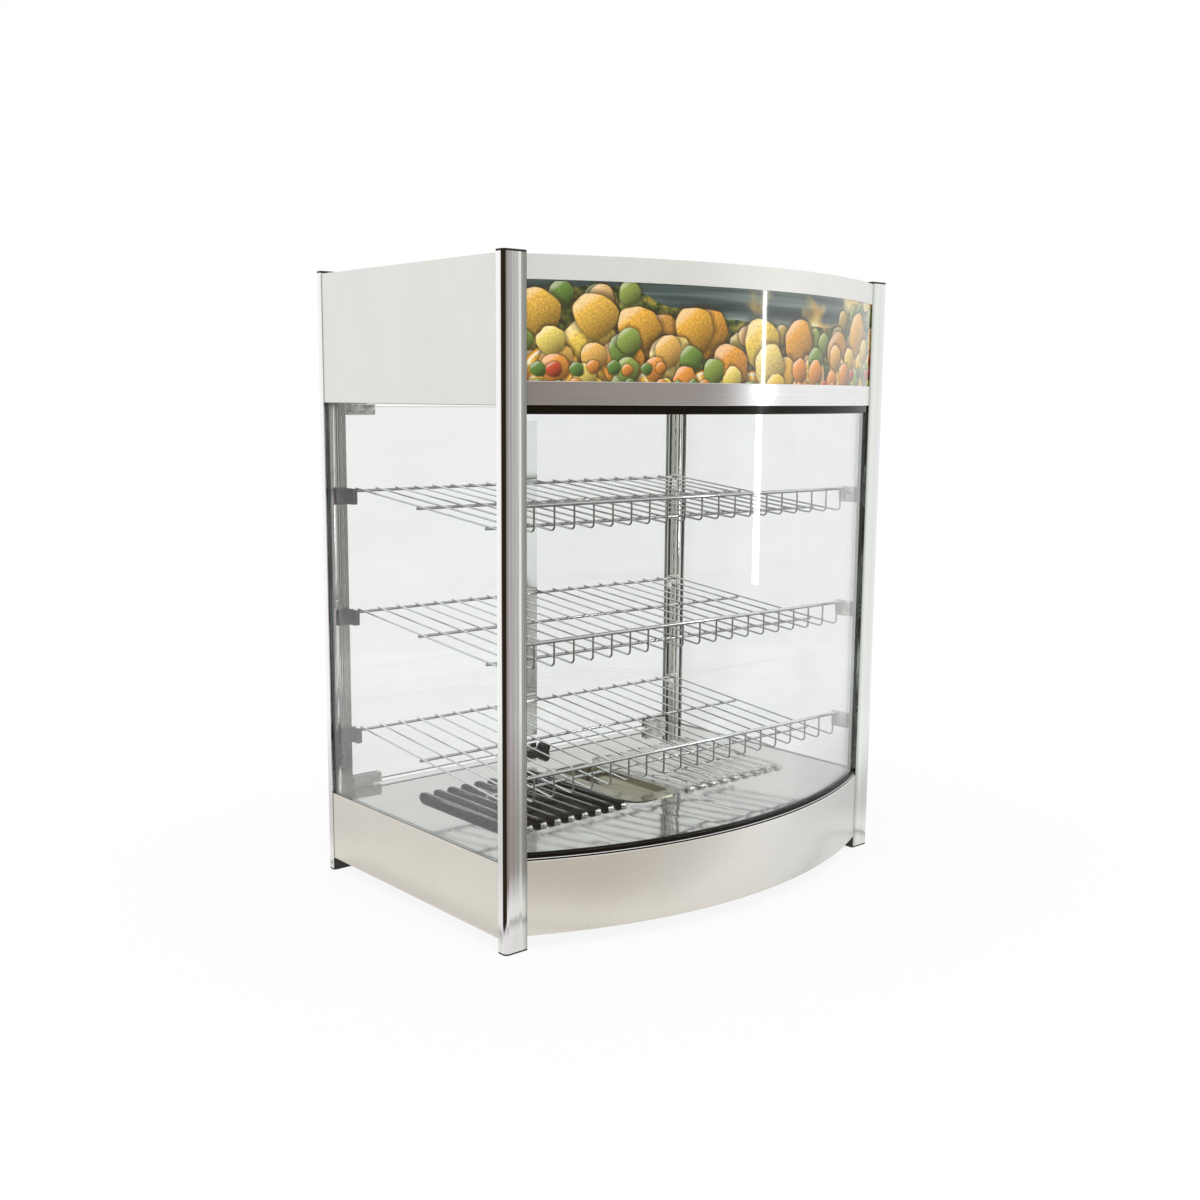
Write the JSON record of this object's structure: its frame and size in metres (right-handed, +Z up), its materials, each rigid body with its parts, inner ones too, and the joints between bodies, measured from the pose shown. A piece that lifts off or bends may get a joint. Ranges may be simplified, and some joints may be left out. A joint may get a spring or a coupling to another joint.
{
  "type": "heated display case",
  "caption": "Countertop heated food display case with a bowed front glass, sloping wire shelves, glass rear doors and a lit header panel.",
  "frame": {"origin": "centre of the bottom of the case's bounding box, on the counter", "axes": "+X to the right as the customer sees the case, +Y from the bowed front glass to the rear doors, +Z up"},
  "size_m": [0.65, 0.4886, 0.79],
  "materials": {
    "post_aluminium": "polished profile",
    "black_plastic": "moulded black",
    "base_steel": "satin stainless steel",
    "header_steel": "satin stainless steel",
    "floor_steel": "bright rolled stainless steel",
    "hidden_steel": "galvanised sheet",
    "graphic": "printed acrylic panel",
    "clear_glass": "clear toughened glass",
    "black_rubber": "glazing channel",
    "chrome_wire": "chromed steel wire",
    "bracket_steel": "pressed stainless steel",
    "strip_steel": "slotted steel strip",
    "hinge_steel": "bright machined steel",
    "stile_steel": "folded stainless steel",
    "pan_steel": "pressed stainless steel",
    "element_sheath": "heater sheath",
    "switch_black": "moulded black",
    "rocker_green": "translucent green",
    "rocker_black": "moulded black",
    "pilot_amber": "translucent amber",
    "white_plastic": "moulded white",
    "lamp_white": "frosted tube",
    "driver_case": "painted box",
    "lead_black": "insulated lead",
    "screw_steel": "bright steel"
  },
  "bodies": {
    "case": {"post_front_left": "post_aluminium", "post_front_right": "post_aluminium", "post_rear_left": "post_aluminium", "post_rear_right": "post_aluminium", "post_caps": "black_plastic", "foot_pads": "black_plastic", "base_side_left": "base_steel", "base_side_right": "base_steel", "base_front": "base_steel", "base_rear": "base_steel", "base_bottom": "hidden_steel", "floor_plate": "floor_steel", "heater_left": "element_sheath", "heater_right": "element_sheath", "heater_clips": "hidden_steel", "thermostat_body": "white_plastic", "pilot_lamp": "pilot_amber", "power_switch_housing": "switch_black", "light_switch_housing": "switch_black", "cable_gland": "black_plastic", "terminal_block": "white_plastic", "wiring": "lead_black", "header_side_left": "header_steel", "header_side_right": "header_steel", "header_roof": "header_steel", "header_ceiling": "floor_steel", "header_rear": "header_steel", "fascia_upper_band": "header_steel", "fascia_lower_band": "header_steel", "graphic_panel": "graphic", "lamp_tube": "lamp_white", "lamp_holders": "white_plastic", "lamp_driver": "driver_case", "front_glass": "clear_glass", "front_glass_top_gasket": "black_rubber", "front_glass_bottom_gasket": "black_rubber", "side_glass_left": "clear_glass", "side_glass_right": "clear_glass", "pivot_plates": "hinge_steel", "door_catch": "black_plastic", "shelf_brackets_top": "bracket_steel", "shelf_brackets_middle": "bracket_steel", "shelf_brackets_bottom": "bracket_steel", "shelf_strips": "strip_steel", "panel_screws": "screw_steel"},
    "door_left": {"door_glass_left": "clear_glass", "door_stile_left": "stile_steel", "door_keeper_left": "hinge_steel", "hinge_clips_left": "hinge_steel"},
    "door_right": {"door_glass_right": "clear_glass", "door_stile_right": "stile_steel", "door_keeper_right": "hinge_steel", "hinge_clips_right": "hinge_steel"},
    "knob": {"thermostat_knob": "black_plastic"},
    "power_rocker": {"power_switch_rocker": "rocker_green"},
    "light_rocker": {"light_switch_rocker": "rocker_black"},
    "pan": {"water_pan": "pan_steel"},
    "top_shelf": {"shelf_top": "chrome_wire"},
    "middle_shelf": {"shelf_middle": "chrome_wire"},
    "bottom_shelf": {"shelf_bottom": "chrome_wire"}
  },
  "joints": [
    {"name": "door_left_hinge", "type": "hinge", "parent": "case", "child": "door_left", "pos_m": [-0.284, 0.2207, 0.366], "axis": [0, 0, 1], "range_deg": [0, 110]},
    {"name": "door_right_hinge", "type": "hinge", "parent": "case", "child": "door_right", "pos_m": [0.284, 0.2207, 0.366], "axis": [0, 0, -1], "range_deg": [0, 110]},
    {"name": "thermostat_turn", "type": "hinge", "parent": "case", "child": "knob", "pos_m": [0.19, 0.2253, 0.062], "axis": [0, 1, 0], "range_deg": [0, 270]},
    {"name": "power_rocker_tilt", "type": "hinge", "parent": "case", "child": "power_rocker", "pos_m": [0.1, 0.2237, 0.062], "axis": [1, 0, 0], "range_deg": [0, 16]},
    {"name": "light_rocker_tilt", "type": "hinge", "parent": "case", "child": "light_rocker", "pos_m": [0.06, 0.2237, 0.062], "axis": [1, 0, 0], "range_deg": [0, 16]},
    {"name": "water_pan_lift", "type": "slide", "parent": "case", "child": "pan", "axis": [0, 0, 1], "range_m": [0, 0.035]},
    {"name": "top_shelf_lift", "type": "slide", "parent": "case", "child": "top_shelf", "axis": [0, 0, 1], "range_m": [0, 0.025]},
    {"name": "middle_shelf_lift", "type": "slide", "parent": "case", "child": "middle_shelf", "axis": [0, 0, 1], "range_m": [0, 0.025]},
    {"name": "bottom_shelf_lift", "type": "slide", "parent": "case", "child": "bottom_shelf", "axis": [0, 0, 1], "range_m": [0, 0.025]}
  ]
}
